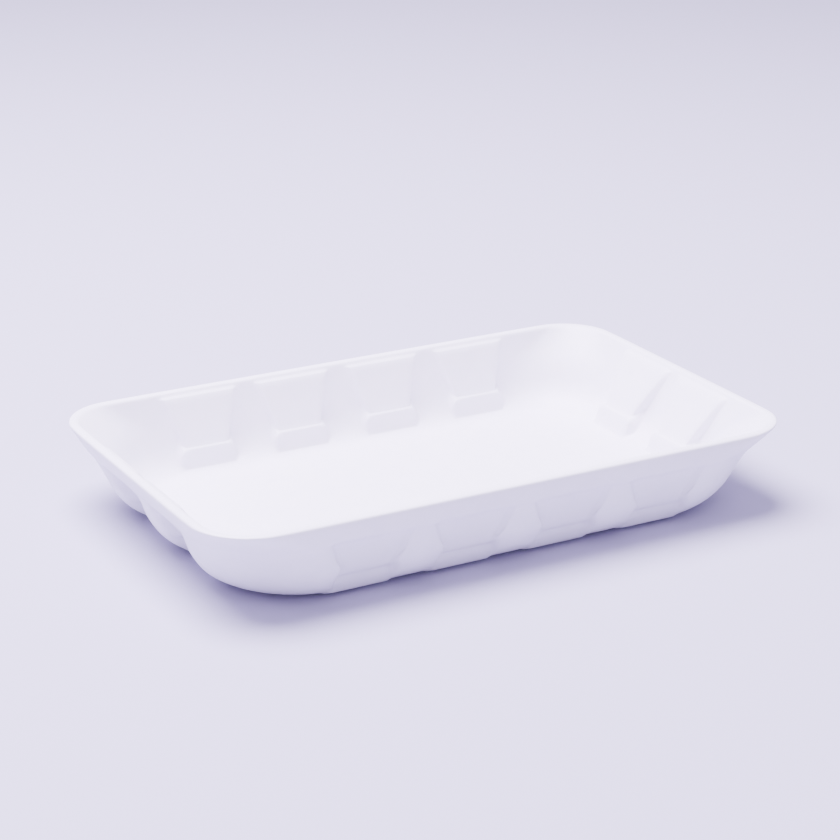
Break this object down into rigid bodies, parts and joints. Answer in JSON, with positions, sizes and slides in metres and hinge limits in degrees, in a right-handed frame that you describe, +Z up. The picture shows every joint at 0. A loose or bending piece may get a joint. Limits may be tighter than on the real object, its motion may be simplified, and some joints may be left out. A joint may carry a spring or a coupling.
{
  "type": "foam meat tray",
  "caption": "Shallow rectangular foam food tray with rounded corners, a fluted sloping wall and a plain flat rim, for holding meat or produce.",
  "frame": {"origin": "middle of the base, on the flat face the tray rests on", "axes": "+X along the long side of the rim, +Y along its short side, +Z up out of the open mouth"},
  "size_m": [0.22, 0.14, 0.031],
  "materials": {
    "foam": "satin"
  },
  "bodies": {
    "root": {"tray": "foam"}
  },
  "joints": []
}
